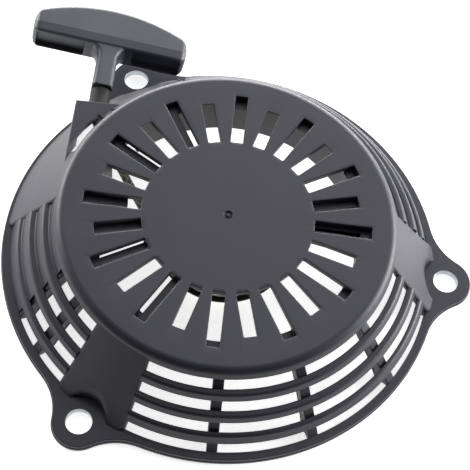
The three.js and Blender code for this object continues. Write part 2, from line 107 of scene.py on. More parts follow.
class CaseSizes(bpy.types.PropertyGroup):
    """Moulded case."""

    height: length("Height", "Bolting plane to the crown", 38)
    wall: length("Wall", "Moulded wall", 2.3)
    crown: length("Crown", "Sharp radius of the crown's edge before rounding", 73.45)
    crown_edge: length("Crown edge", "Rounding of the crown's edge", 4.2)
    shoulder: length("Shoulder", "Rounding of each louvre's shoulder", 1.8)
    gap: length("Louvre gap", "Height of the air gap above each louvre", 4.2)
    rib: length("Rib", "Thickness of the louvre ribs", 4.6)
    rim: length("Rim", "Outer radius of the rim", 99.4)
    rim_bore: length("Rim bore", "Inner radius of the rim", 93.2)
    rim_relief: length("Rim relief", "Wider bore of the rim under the air gaps", 95.3)
    rim_thickness: length("Rim thickness", "Rim and ears", 4)
    bolt_radius: length("Bolt radius", "Crankshaft axis to each bolt", 103)
    ear: length("Ear", "Radius of each ear", 11.8)
    ear_blend: length("Ear blend", "Hollow blend from ear to rim", 26)
    scoop: length("Scoop", "Spanner room over each ear", 11.2)
    scoop_edge: length("Scoop edge", "Rounding where a scoop meets the panel", 1.6)
    slot_width: length("Slot width", "Cooling slots", 5.6)
    slot_inner: length("Slot start", "Inner radius of the slots", 37.8)
    slot_long: length("Long slot end", "Outer radius of the long slots", 63)
    slot_short: length("Short slot end", "Outer radius of the short slots", 58.2)
    skirt: length("Air skirt", "Outer radius of the ring under the slots", 60.4)
    skirt_bottom: length("Skirt bottom", "Height of the ring's lower edge", 18)


class RopeSizes(bpy.types.PropertyGroup):
    """Rope and its way out."""

    radius: length("Rope radius", "Braided starter rope", 1.9)
    plait: length("Plait", "Length of one crossing of the braid", 2.6)
    guide_end: length("Guide end", "Distance from the axis to the guide's end wall", 54)
    guide_top: length("Guide top", "Height of the rope guide", 31.5)
    pull_height: length("Pull height", "Height of the rope at the eyelet", 24)


class HandleSizes(bpy.types.PropertyGroup):
    """Pull handle."""

    span: length("Span", "Width across the bar", 73)
    bar_half: length("Bar half thickness", "Half of the bar's thickness", 7.4)
    stem_half: length("Stem half width", "Half of the stem's width", 4.6)
    fillet: length("Fillet", "Hollow between stem and bar", 7.5)


class Finishes(bpy.types.PropertyGroup):
    """Colours."""

    case: colour("Case", "Satin black moulding", "#23242e")
    grip: colour("Grip", "Charcoal handle", "#3f4149")
    sleeve: colour("Sleeve", "Black rubber", "#0c0c0d")
    reel: colour("Reel", "Black reel", "#1c1c1e")
    ratchet: colour("Ratchet", "Undyed nylon", "#d9d5c6")
    rope: colour("Rope", "Off-white rope", "#d2d0c8")
    spring: colour("Spring", "Oiled steel", "#6a6c70")
    zinc: colour("Zinc", "Zinc plating", "#c4c7cb")
    floor: colour("Floor", "White card", "#f7f7f6")


GROUPS = {
    "starter_case": CaseSizes,
    "starter_rope": RopeSizes,
    "starter_handle": HandleSizes,
    "starter_finishes": Finishes,
}


# ---- shapes, in millimetres


def polar(radius, angle):
    return radius * cos(radians(angle)), radius * sin(radians(angle))


def arc(radius, start, end, steps, centre=(0, 0)):
    """Points of an arc about a centre, in degrees."""
    turns = (polar(radius, start + (end - start) * i / steps) for i in range(steps + 1))
    return [(centre[0] + x, centre[1] + y) for x, y in turns]


def rounded(corners, step=15, count=None):
    """Closed outline whose (x, y, radius) corners become arcs, by a step in degrees or a count."""
    outline = []
    for i, (x, y, radius) in enumerate(corners):
        corner = Vector((x, y))
        to_last = (Vector(corners[i - 1][:2]) - corner).normalized()
        to_next = (Vector(corners[(i + 1) % len(corners)][:2]) - corner).normalized()
        half = to_last.angle(to_next, pi) / 2
        if radius <= 0 or half > radians(89):
            outline.append((x, y))
            continue
        centre = corner + (to_last + to_next).normalized() * radius / sin(half)
        first = corner + to_last * radius / tan(half) - centre
        last = corner + to_next * radius / tan(half) - centre
        turn = atan2(first.cross(last), first.dot(last))
        parts = count or max(2, ceil(degrees(abs(turn)) / step))
        for k in range(parts + 1):
            point = centre + Matrix.Rotation(turn * k / parts, 2) @ first
            outline.append(tuple(point))
    return outline


def beside(line, distance):
    """A line of points moved sideways, its corners kept sharp. Plus is to the right of its run."""
    moved = []
    for i, here in enumerate(line):
        sides = []
        for a, b in ((i - 1, i), (i, i + 1)):
            if a >= 0 and b < len(line):
                run = Vector(line[b]) - Vector(line[a])
                sides.append(Vector((run.y, -run.x)).normalized())
        side = (sides[0] + sides[-1]).normalized()
        moved.append(tuple(Vector(here) + side * distance / side.dot(sides[0])))
    return moved


def inset(outline, distance):
    """A closed, anticlockwise outline drawn in by a distance."""
    looped = [outline[-1], *outline, outline[0]]
    return beside(looped, -distance)[1:-1]


def lathe(outline, start=0.0, end=360.0, step=1.875):
    """Solid of revolution about Z, whole or one sector, from a closed (radius, height) outline."""
    count = max(3, round((end - start) / step))
    whole = end - start >= 360
    rows = count if whole else count + 1
    points, faces, n = [], [], len(outline)
    for i in range(rows):
        angle = start + (end - start) * i / count
        points += [(*polar(radius, angle), height) for radius, height in outline]
    for i in range(count):
        j = (i + 1) % rows
        for k in range(n):
            m = (k + 1) % n
            if max(outline[k][0], outline[m][0]) > 1e-6:
                faces.append((i * n + k, j * n + k, j * n + m, i * n + m))
    if not whole:
        faces += [tuple(range(n)), tuple(range(count * n, count * n + n))]
    return points, faces


def turned(corners, start=0.0, end=360.0, step=1.875, bend=15):
    """Turned solid with rounded corners, each given as (radius, height, rounding)."""
    return lathe(rounded(corners, bend), start, end, step)


def oblong(left, right, low, high, *edge):
    """Corners of a rectangle, with one rounding for all four or none."""
    return [(x, y, *edge) for x, y in ((left, low), (right, low), (right, high), (left, high))]


def loft(loops):
    """Closed solid through loops of the same number of points."""
    n, points, faces = len(loops[0]), [p for loop in loops for p in loop], []
    for i in range(len(loops) - 1):
        for k in range(n):
            m = (k + 1) % n
            faces.append((i * n + k, i * n + m, (i + 1) * n + m, (i + 1) * n + k))
    faces += [tuple(range(n)), tuple(range(len(points) - n, len(points)))]
    return points, faces


def stacked(outline, levels):
    """Closed solid from one outline at (height, inset) levels."""
    return loft([[(x, y, z) for x, y in inset(outline, d)] for z, d in levels])


def slab(outline, bottom, top, lower_edge=0.0, upper_edge=0.0, steps=3):
    """Upright prism with rounded edges; a negative edge radius flares out instead."""
    levels = []
    for height, edge, inward in ((bottom, lower_edge, 1), (top, upper_edge, -1)):
        shares = [k / steps for k in range(steps + 1)] if edge else [1]
        rim = [
            (height + inward * abs(edge) * (1 - cos(s * pi / 2)), edge * (1 - sin(s * pi / 2)))
            for s in shares
        ]
        levels += rim if inward > 0 else rim[::-1]
    return stacked(outline, levels)


def sweep(path, section):
    """Solid along a path, without twist, from a closed (across, up) section."""
    path = [Vector(p) for p in path]
    last = len(path) - 1
    runs = [(path[min(i + 1, last)] - path[max(i - 1, 0)]).normalized() for i in range(last + 1)]
    side = runs[0].cross(Vector((0, 0, 1)))
    side = side.normalized() if side.length > 0.1 else Vector((1, 0, 0))
    loops = []
    for point, run in zip(path, runs):
        side = (side - run * side.dot(run)).normalized()
        up = side.cross(run)
        loops.append([tuple(point + side * a + up * b) for a, b in section])
    return loft(loops)


def moved(shape, matrix):
    return [tuple(matrix @ Vector(p)) for p in shape[0]], shape[1]


def spun(shape, angle):
    return moved(shape, Matrix.Rotation(radians(angle), 4, "Z"))


def shifted(shape, x, y):
    return moved(shape, Matrix.Translation((x, y, 0)))


def upright_plate(side, half, angle, edge=0.0):
    """Radial plate from its (radius, height) outline and half its thickness."""
    return spun(moved(slab(side, -half, half, edge, edge), Matrix.Rotation(pi / 2, 4, "X")), angle)


def pull_axis(y, height):
    """Stands a turned shape on the pull axis, with its own axis along +Y."""
    return Matrix.Translation((PULL_X, y, height)) @ Matrix.Rotation(-pi / 2, 4, "X")


def solid(name, *shapes):
    """Mesh object from closed shapes that stay clear of each other."""
    mesh = bpy.data.meshes.new(name)
    work = bmesh.new()
    for points, faces in shapes:
        corners = [work.verts.new(p) for p in points]
        for face in faces:
            work.faces.new([corners[i] for i in face])
    bmesh.ops.remove_doubles(work, verts=work.verts, dist=1e-5)
    bmesh.ops.recalc_face_normals(work, faces=work.faces)
    work.to_mesh(mesh)
    work.free()
    piece = bpy.data.objects.new(name, mesh)
    bpy.context.scene.collection.objects.link(piece)
    return piece


def settle(piece):
    """Applies a piece's modifiers."""
    fresh = bpy.data.meshes.new_from_object(piece.evaluated_get(bpy.context.evaluated_depsgraph_get()))
    piece.modifiers.clear()
    piece.data = fresh


def apply_boolean(piece, operation, tool):
    boolean = piece.modifiers.new("boolean", "BOOLEAN")
    boolean.solver = "MANIFOLD"
    boolean.operation = operation
    boolean.object = tool
    settle(piece)
    bpy.data.objects.remove(tool)


def combine(piece, operation, *shapes):
    """Joins to or cuts from a piece with shapes that stay clear of each other."""
    before = len(piece.data.vertices), len(piece.data.polygons)
    apply_boolean(piece, operation, solid("tool", *shapes))
    if (len(piece.data.vertices), len(piece.data.polygons)) in ((0, 0), before):
        raise RuntimeError(f"{piece.name}: nothing came of a {operation.lower()}")


def join(piece, *shapes):
    combine(piece, "UNION", *shapes)


def cut(piece, *shapes):
    combine(piece, "DIFFERENCE", *shapes)


def dress(piece, look, slot, body, *nodes):
    """Millimetres to metres, crisp creases, the finish, the body and the nodes that it replaces."""
    piece.data.transform(Matrix.Scale(0.001, 4))
    piece.data.shade_smooth()
    piece.data.set_sharp_from_angle(angle=radians(38))
    weighted = piece.modifiers.new("weighted normals", "WEIGHTED_NORMAL")
    weighted.keep_sharp = True
    settle(piece)
    piece.data.materials.clear()
    piece.data.materials.append(finish(look))
    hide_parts(*nodes)
    if body:
        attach(piece, body)
    return piece


# ---- materials


def add(tree, kind, inputs=None, **settings):
    """Adds a node. Its inputs are values, sockets, or nodes that give their first live output."""
    made = tree.nodes.new(f"ShaderNode{kind}")
    for name, value in settings.items():
        setattr(made, name, value)
    for name, value in (inputs or {}).items():
        if isinstance(value, bpy.types.Node):
            value = next(output for output in value.outputs if output.enabled)
        if isinstance(value, bpy.types.NodeSocket):
            tree.links.new(value, made.inputs[name])
        else:
            made.inputs[name].default_value = value
    return made


SMOOTH = {"interpolation_type": "SMOOTHSTEP"}
COLOUR = {"data_type": "RGBA"}


def blank(name):
    """An empty material with its tree and the place on the piece that patterns are laid out by."""
    made = bpy.data.materials.new(name)
    made.use_nodes = True
    tree = made.node_tree
    tree.nodes.clear()
    return made, tree, add(tree, "TexCoord").outputs["Object"]


def coat(made, inputs):
    """Gives a material its Principled shader; what is the same all over sits on its own sockets."""
    surface = add(made.node_tree, "BsdfPrincipled", inputs)
    add(made.node_tree, "OutputMaterial", {"Surface": surface})
    return made


def per_mm(size):
    """Texture scale whose features come out about this many millimetres apart."""
    return 1000 / size


def tint(shade, factor=1.0):
    """A colour made lighter or darker, with alpha."""
    return (*(min(1.0, c * factor) for c in shade), 1)


def moulded(name, shade, roughness, grain, scuffs):
    """Injection-moulded plastic: spark-eroded grain, faint flow mottling and light handling scuffs."""
    made, tree, place = blank(name)
    # real spark-eroded grain is near 0.1 mm, drawn coarser so that it shows
    fine = add(tree, "TexNoise", {"Vector": place, "Scale": per_mm(grain), "Detail": 3})
    flow = add(tree, "TexNoise", {"Vector": place, "Scale": per_mm(22), "Detail": 4})
    share = add(tree, "MapRange", {"Value": flow, "From Min": 0.3, "From Max": 0.7}, **SMOOTH)
    mottled = add(tree, "Mix", {"Factor": share, "A": tint(shade, 0.9), "B": tint(shade, 1.1)},
                  **COLOUR)
    # scuffs are thin streaks some 12 mm long
    drawn = add(tree, "Mapping", {"Vector": place, "Rotation": (0, 0, 0.7), "Scale": (1, 9, 3)})
    streak = add(tree, "TexNoise", {"Vector": drawn, "Scale": per_mm(14), "Detail": 5,
                                    "Distortion": 0.6})
    marks = add(tree, "MapRange", {"Value": streak, "From Min": 0.63, "From Max": 0.78,
                                   "To Max": scuffs}, **SMOOTH)
    scuffed = add(tree, "Mix", {"Factor": marks, "A": mottled, "B": tint(shade, 2.1)}, **COLOUR)
    uneven = add(tree, "MapRange", {"Value": flow, "To Min": roughness - 0.06,
                                    "To Max": roughness + 0.08})
    bump = add(tree, "Bump", {"Height": fine, "Strength": 0.35, "Distance": mm(0.05)})
    return coat(made, {"IOR": 1.5, "Base Color": scuffed, "Roughness": uneven, "Normal": bump})


def rubber(name, shade):
    """Moulded rubber: dull, with a fine matt grain."""
    made, tree, place = blank(name)
    grain = add(tree, "TexNoise", {"Vector": place, "Scale": per_mm(0.5), "Detail": 4})
    dusty = add(tree, "Mix", {"Factor": grain, "A": tint(shade, 0.7), "B": tint(shade, 1.5)}, **COLOUR)
    rough = add(tree, "MapRange", {"Value": grain, "To Min": 0.55, "To Max": 0.8})
    bump = add(tree, "Bump", {"Height": grain, "Strength": 0.4, "Distance": mm(0.08)})
    return coat(made, {"IOR": 1.5, "Base Color": dusty, "Roughness": rough, "Normal": bump})


def steel(name, shade, roughness, grain, stain):
    """Plated or rolled steel: fine directionless lustre with duller, slightly darker patches."""
    made, tree, place = blank(name)
    fine = add(tree, "TexNoise", {"Vector": place, "Scale": per_mm(grain), "Detail": 6})
    patch = add(tree, "TexNoise", {"Vector": place, "Scale": per_mm(5), "Detail": 4})
    share = add(tree, "MapRange", {"Value": patch, "From Min": 0.4, "From Max": 0.65}, **SMOOTH)
    stained = add(tree, "Mix", {"Factor": share, "A": tint(shade), "B": tint(shade, stain)}, **COLOUR)
    rough = add(tree, "MapRange", {"Value": share, "To Min": roughness, "To Max": roughness + 0.18})
    bump = add(tree, "Bump", {"Height": fine, "Strength": 0.3, "Distance": mm(0.02)})
    return coat(made, {"Metallic": 1.0, "Base Color": stained, "Roughness": rough, "Normal": bump})


def braided(name, shade, radius, plait):
    """Braided nylon cord: crossing strands that follow its length and girth, with painted shade in the
    gaps between them, a little soiled.
    """
    made, tree, place = blank(name)
    spread = add(tree, "SeparateXYZ", {"Vector": add(tree, "TexCoord").outputs["UV"]})
    # u is millimetres of rope, v is one turn round it; four strands lean each way
    waves = []
    for lean in (1, -1):
        lay = add(tree, "Math", {0: spread.outputs["X"], 1: pi / plait}, operation="MULTIPLY")
        phase = add(tree, "Math", {0: spread.outputs["Y"], 1: lean * 8 * pi, 2: lay},
                    operation="MULTIPLY_ADD")
        waves.append(add(tree, "Math", {0: phase}, operation="SINE"))
    over = add(tree, "Math", {0: waves[0], 1: waves[1]}, operation="MAXIMUM")
    strands = add(tree, "MapRange", {"Value": over, "From Min": -0.35, "From Max": 0.9}, **SMOOTH)
    fibre = add(tree, "TexNoise", {"Vector": place, "Scale": per_mm(0.5), "Detail": 4})
    soil = add(tree, "TexNoise", {"Vector": place, "Scale": per_mm(16), "Detail": 3})
    share = add(tree, "MapRange", {"Value": soil, "From Min": 0.45, "From Max": 0.75}, **SMOOTH)
    # painted shade: the gaps between the strands are darkened to 0.42 of the rope's colour
    gap_shaded_braid = add(tree, "Mix", {"Factor": strands, "A": tint(shade, 0.42), "B": tint(shade)}, **COLOUR)
    soiled = add(tree, "Mix", {"Factor": share, "A": gap_shaded_braid, "B": (0.72, 0.69, 0.62, 1)},
                 blend_type="MULTIPLY", **COLOUR)
    height = add(tree, "Math", {0: fibre, 1: 0.15, 2: strands}, operation="MULTIPLY_ADD")
    bump = add(tree, "Bump", {"Height": height, "Strength": 0.8, "Distance": mm(radius * 0.16)})
    return coat(made, {"IOR": 1.5, "Roughness": 0.78, "Sheen Weight": 0.25, "Base Color": soiled,
                       "Normal": bump})


def finish(name):
    """The material of that name, made from the panel's colours the first time it is asked for."""
    if name in bpy.data.materials:
        return bpy.data.materials[name]
    shades = bpy.context.scene.starter_finishes
    rope = in_mm(bpy.context.scene.starter_rope)
    recipes = {
        # glass-filled nylon, moulded in a spark-eroded tool: satin, soft highlights on every shoulder
        "moulded_nylon_black": lambda n: moulded(n, shades.case, 0.43, 0.55, 0.3),
        # polypropylene, moulded: a little lighter and smoother, shaped to be held
        "moulded_polypropylene_charcoal": lambda n: moulded(n, shades.grip, 0.42, 0.5, 0.18),
        # nylon 6, moulded: dense black, dull where nobody looks
        "moulded_nylon_reel": lambda n: moulded(n, shades.reel, 0.55, 0.5, 0.1),
        # undyed nylon, moulded: waxy, off-white
        "moulded_nylon_natural": lambda n: moulded(n, shades.ratchet, 0.4, 0.5, 0.05),
        # natural rubber, moulded: dull black
        "moulded_rubber_black": lambda n: rubber(n, shades.sleeve),
        # carbon spring steel, rolled and oiled: dark, with duller patches
        "rolled_spring_steel": lambda n: steel(n, shades.spring, 0.3, 0.3, 0.7),
        # mild steel, zinc plated: bright and slightly cloudy
        "zinc_plated_steel": lambda n: steel(n, shades.zinc, 0.28, 0.25, 0.86),
        # nylon, braided round a core
        "braided_nylon": lambda n: braided(n, shades.rope, rope.radius, rope.plait),
    }
    return recipes[name](name)


# ---- case

RISER_LEAN = 2.5 / 6  # each riser leans out by this much for its height
FEET = ((77.2, 29), (83.5, 21), (89.8, 13), (95.6, 4))  # radius and height of each louvre's inner edge
PANEL_TOP = (74.7, 34.9)
PANEL_FOOT = (97.6, 4)


def riser(step, height):
    """Radius of the riser above a louvre's inner edge, at a height."""
    radius, foot = FEET[step]
    return radius - (height - foot) * RISER_LEAN


def panel_height(radius):
    """Height of the sloping panels' surface at a radius, down to the rim."""
    slope = (PANEL_FOOT[1] - PANEL_TOP[1]) / (PANEL_FOOT[0] - PANEL_TOP[0])
    return max(PANEL_FOOT[1], PANEL_TOP[1] + slope * (radius - PANEL_TOP[0]))


def crown_plate(case):
    """Crown with its rounded edge and the first riser down to the first air gap."""
    under, lip = case.height - case.wall, FEET[0][1] + case.gap
    return turned([
        # rings in the flat top keep its shading even
        *[(radius, case.height, 0) for radius in (0, 4, 20, 36, 66)],
        (case.crown, case.height, case.crown_edge),
        (riser(0, lip), lip, 0.5),
        (riser(0, lip) - case.wall, lip, 0.5),
        (riser(0, under) - case.wall, under, 2),
        (0, under, 0),
    ], bend=8)


def louvre(case, step, start, end):
    """One louvre: its tread, rounded shoulder and the part of the riser above the next gap."""
    (radius, top), lip = FEET[step], FEET[step + 1][1] + case.gap
    outer = riser(step + 1, top)
    return turned([
        (radius + 0.05, top, 0.5),
        (outer, top, case.shoulder),
        (riser(step + 1, lip), lip, 0.5),
        (riser(step + 1, lip) - case.wall, lip, 0.5),
        (riser(step + 1, top - case.wall) - case.wall, top - case.wall, 0.6),
        (radius + 0.05, top - case.wall, 0.5),
    ], start, end)


def closed_stairs(case, start, end):
    """The same wall without air gaps, at the blind left end."""
    lip = FEET[0][1] + case.gap
    outside = [(riser(0, 35.4) - 0.04, 35.4), (riser(0, lip) - 0.02, lip), FEET[0]]
    for step in (0, 1, 2):
        outside += [(riser(step + 1, FEET[step][1]), FEET[step][1]), FEET[step + 1]]
    outside[-1] = (FEET[3][0] + 0.4, 3)
    inside = beside(outside, case.wall)[::-1]
    inside[0] = (case.rim_bore + 0.2, 3)
    corners = [(x, y, 0 if i in (0, 1, 8) else (0.8 if i % 2 == 0 else case.shoulder))
               for i, (x, y) in enumerate(outside)]
    corners += [(x, y, 0.6) for x, y in inside[:-1]] + [(*inside[-1], 0)]
    return turned(corners, start, end)


def sloping_panel(start, end):
    """Smooth panel that bridges the louvres, with rolled side edges and rounded lower corners."""
    run = (Vector(PANEL_FOOT) - Vector(PANEL_TOP)).normalized()
    out = Vector((-run.y, run.x))
    edge, corner, mean = 1.3, 4.0, 86
    width = radians(end - start) * mean
    near = [0, 0.15, 0.4, 0.8, 1.3, 2, 3, corner]
    flat = width - 2 * corner
    count = ceil(flat / 2.5)
    middle = [corner + flat * i / count for i in range(1, count)]
    stations = [*near, *middle, *(width - d for d in near[::-1])]
    loops = []
    for station in stations:
        d = min(station, width - station)
        drop = edge - sqrt(edge**2 - (edge - min(d, edge)) ** 2)
        lift = corner - sqrt(corner**2 - (corner - min(d, corner)) ** 2)
        top = Vector(PANEL_TOP) - out * drop
        foot = Vector(PANEL_FOOT) - run * lift - out * drop
        low = max(PANEL_FOOT[1], foot.y - 2.8)
        section = [top, foot, (foot.x - 1.2, low), (94.2, PANEL_FOOT[1]), (76.4, 28.4), (73.9, 33.4)]
        angle = start + degrees(station / mean)
        loops.append([(*polar(r, angle), z) for r, z in section])
    return loft(loops)


def louvre_rib(case, angle):
    """Upright rib through the louvres, set back to the line of their feet."""
    side = rounded([
        (70.5, 35, 0.4), (70.5, 28, 2), (86.5, 7, 3), (88.4, 1, 0.4),
        (96.6, 1, 0), (96.6, 3.8, 0), (95.2, 4.2, 0.6), (76.9, 29, 1),
    ])
    return upright_plate(side, case.rib / 2, angle, 0.5)


def rim_outline(case, steps=10):
    """Round rim with three ears blended into it, anticlockwise."""
    blend, bolt = case.ear_blend, case.bolt_radius
    reach, side = case.rim + blend, case.ear + blend
    spread = degrees(acos((bolt**2 + reach**2 - side**2) / (2 * bolt * reach)))
    x, y = polar(reach, spread)
    tilt = degrees(atan2(y, x - bolt))
    outline = []
    for ear in EARS:
        before, after = ear - spread, ear + spread
        outline += arc(blend, before + 180, ear - tilt + 180, steps, polar(reach, before))
        outline += arc(case.ear, ear - tilt, ear + tilt, 3 * steps, polar(bolt, ear))[1:-1]
        outline += arc(blend, ear + tilt + 180, after + 180, steps, polar(reach, after))
        outline += arc(case.rim, after, before + 120, 4 * steps)[1:-1]
    return outline


def rim_plate(case):
    """Flat rim and ears with eased edges and a mould parting step half way up."""
    top = case.rim_thickness
    below = [(0, 0.5), (0.15, 0.15), (0.5, 0), (1.9, 0)]
    above = [(1.95, 0.3), (top - 0.6, 0.3), (top - 0.2, 0.45), (top, 0.9)]
    return stacked(rim_outline(case), below + above)


def rim_bore(inner, radius, *span):
    """Cutter for the rim's eased inner edge."""
    return lathe([(inner, -1), (radius + 0.5, -1), (radius + 0.5, 0), (radius, 0.5), (radius, 3.5),
                  (radius + 0.4, 4), (radius + 0.4, 5), (inner, 5)], *span)


def scoop_cutter(case, ear):
    """Upright cutter over an ear that rolls the panel's edge over into the scoop."""
    centre, edge, floor = Vector(polar(case.bolt_radius, ear)), case.scoop_edge, case.rim_thickness
    loops = []
    for i in range(72):
        way = Vector(polar(1, ear + 5 * i))
        column = [(0, floor)]
        for share in (0, 0.06, 0.2, 0.4, 0.6, 0.8, 1):
            surface = panel_height((centre + way * (case.scoop + edge * share)).length)
            drop = edge * (1 - sqrt(1 - (1 - share) ** 2))
            column.append((edge * share, max(floor, surface - drop)))
        column += [(edge + 0.3, column[-1][1] + 1), (edge + 0.3, 60)]
        loops.append([(*(centre + way * (case.scoop + out)), z) for out, z in column])
    return loft(list(zip(*loops)))


def slot_cutter(case, index):
    """One cooling slot with small corner radii and an eased upper edge."""
    half = case.slot_width / 2
    outer = case.slot_long if index % 2 == 0 else case.slot_short
    outline = rounded(oblong(case.slot_inner, outer, -half, half, 0.5), 30)
    depths = [(-4, 0), (-0.45, 0), (-0.2, -0.06), (0, -0.4), (1, -0.6)]
    return spun(stacked(outline, [(case.height + z, d) for z, d in depths]), index * 360 / SLOTS)


def rope_guide(rope):
    """Box beside the crown that brings the rope out towards the handle."""
    outline = [(GUIDE_SIDE, 12.5), (GUIDE_SIDE, rope.guide_end), (-51.8, rope.guide_end + 0.9)]
    outline += arc(74.2, 133.4, 170.4, 14)
    return slab(outline[::-1], 5, rope.guide_top, 0, 0.7)


def under_wall(case):
    """Space under the stepped wall, to trim what is built from the outside."""
    under = case.height - case.wall + 0.1
    outline = [(0, under), (0, -1), (case.rim_bore, -1), (case.rim_bore + 0.1, 3)]
    for step in (3, 2, 1):
        radius, height = FEET[step - 1]
        outline += [(radius + 1.6, height - case.wall), (radius - 2, height - case.wall)]
    return lathe([*outline, (72.3, 33.5), (70.6, under)])


def rope_guide_hollows(case, rope):
    """Room for the rope, the open sliver along the crown, a coring pocket and the eyelet's hole."""
    side, end = GUIDE_SIDE + case.wall, rope.guide_end - case.wall
    room = [(side, end), *arc(76.8, 160.6, 138.4, 14), (-57.2, end)]
    sliver = [*arc(79.4, 143.2, 160.9, 14), *arc(74.4, 160.9, 143.2, 14)]
    pocket = rounded([(-58.8, 51.2, 0.3), (-57.3, 47.6, 0.3), (-55.3, 49.9, 0.3)])
    hole = lathe([(0, -5), (4.2, -5), (4.2, 0.5), (5.4, 0.5), (5.4, 12), (0, 12)], step=7.5)
    return (slab(room, -1, rope.guide_top - case.wall), slab(sliver, -1, case.height),
            slab(pocket, 20, case.height), moved(hole, pull_axis(rope.guide_end, rope.pull_height)))


def under_crown(case):
    """Ring, spokes, ribs and centre post that hang under the crown, in the order they are joined."""
    under = case.height - case.wall + 0.5
    skirt, low = case.skirt, case.skirt_bottom
    inner, gap = skirt - 2, ROPE_SKIRT_GAP
    section = [(inner, low, 0.6), (skirt, low, 0.6), (skirt, under, 0), (inner, under, 0)]
    hoop = turned(section, gap[1], gap[0] + 360)
    post = turned([(0, 27, 0), (2.9, 27, 0), (2.9, 12.6, 0.3), (POST, 12.6, 0.5), (POST, under, 0),
                   (0, under, 0)], step=6)
    lintel = lathe(oblong(inner, skirt, 32.7, under), gap[0] - 0.5, gap[1] + 0.5)
    lip = lathe(oblong(skirt - 0.6, 63.4, 33.4, under))
    side = rounded([(33.5, 26, 2), (RIB_END, low + 0.3, 1), (RIB_END, under, 0), (33.5, under, 0)])
    spokes = [upright_plate(side, 1.5, ear, 0.4) for ear in EARS]
    # the ribs stand a little to one side of their slots
    ribs = [shifted(upright_plate(oblong(first, RIB_END, 30, under), 1.5, angle), 0, 1.5)
            for angle, first in CROWN_RIBS]
    return (hoop, post), (lintel,), (lip,), spokes + ribs


class STARTER_OT_case(bpy.types.Operator):
    """Mould the case: crown, louvres, ribs, panels, rim, ears and rope guide"""

    bl_idname = "starter.case"
    bl_label = "Case"

    def execute(self, context):
        case, rope = in_mm(context.scene.starter_case), in_mm(context.scene.starter_rope)
        bolts = [polar(case.bolt_radius, ear) for ear in EARS]
        piece = solid("case_moulding", crown_plate(case))
        join(piece, *[closed_stairs(case, a, b) for a, b in CLOSED_SECTORS])
        for step in (0, 1, 2):
            join(piece, *[louvre(case, step, a - 0.15, b + 0.15) for a, b in OPEN_SECTORS])
        join(piece, *[sloping_panel(a, b) for a, b in PANEL_SECTORS])
        join(piece, *[louvre_rib(case, angle) for angle in RIBS])
        rim = solid("rim", rim_plate(case))
        cut(rim, rim_bore(0, case.rim_bore))
        for sector in OPEN_SECTORS:
            cut(rim, rim_bore(90, case.rim_relief, *sector))
        pad = lathe(oblong(0, case.scoop + 2, 0.4, 22), step=7.5)
        backing = solid("backing", *[shifted(pad, *bolt) for bolt in bolts])
        combine(backing, "INTERSECT", lathe([(0, 0.4), (97.4, 0.4), (97.4, 4), (76, 32.8), (0, 32.8)]))
        guide = solid("guide", rope_guide(rope))
        cut(guide, under_wall(case))
        for part in (rim, backing, guide):
            apply_boolean(piece, "UNION", part)
        for shapes in under_crown(case):
            join(piece, *shapes)
        cut(piece, *[scoop_cutter(case, ear) for ear in EARS])
        # each bush sits under a thin lip of the ear
        wide, hole, top = BUSH_WALL + 0.3, BUSH_BORE + 0.1, BUSH_TALL + 0.05
        room = lathe([(0, -1), (wide, -1), (wide, top), (hole, top + 0.1), (hole, 5), (0, 5)], step=6)
        cut(piece, *[shifted(room, *bolt) for bolt in bolts])
        cut(piece, *[slot_cutter(case, i) for i in range(SLOTS)])
        for hollow in rope_guide_hollows(case, rope):
            cut(piece, hollow)
        # moulding gate: a shallow dish with the broken-off sprue standing in it
        cut(piece, turned([(0, 37.75, 0), (0.7, 37.7, 0.2), (0.95, 37.1, 0.2), (1.5, 37.15, 0.3),
                           (2.2, 38.02, 0.4), (2.3, 39, 0), (0, 39, 0)], step=10))
        dress(piece, "moulded_nylon_black", "case_plastic", "case", "recoil_case")
        return {"FINISHED"}


class STARTER_OT_bushes(bpy.types.Operator):
    """Press the steel bushes into the ears"""

    bl_idname = "starter.bushes"
    bl_label = "Ear bushes"

    def execute(self, context):
        case = in_mm(context.scene.starter_case)
        bush = turned([(BUSH_BORE, 0, 0.2), (BUSH_WALL, 0, 0.1), (BUSH_WALL, BUSH_TALL, 0.1),
                       (BUSH_BORE, BUSH_TALL, 0.2)], step=5, bend=30)
        for number, ear in enumerate(EARS, 1):
            piece = solid(f"bush_{number}", shifted(bush, *polar(case.bolt_radius, ear)))
            dress(piece, "zinc_plated_steel", "zinc_steel", "case", f"ear_bush_{number}")
        return {"FINISHED"}


# ---- reel, spring and ratchet

GROOVE = (14, 22.4)  # heights of the rope groove
REEL_KNOT = (11.6, 0)
PAWL_PIVOTS = (90, 270)
PAWL_PIVOT_RADIUS = 22.5
PAWL_FOLD = -112  # direction of a folded pawl from the radius through its pivot
PAWL_SWING = 40
PAWL_PEG = (7.2, 0.8)  # follower peg in the pawl's own frame
GUIDE_TURN = 25


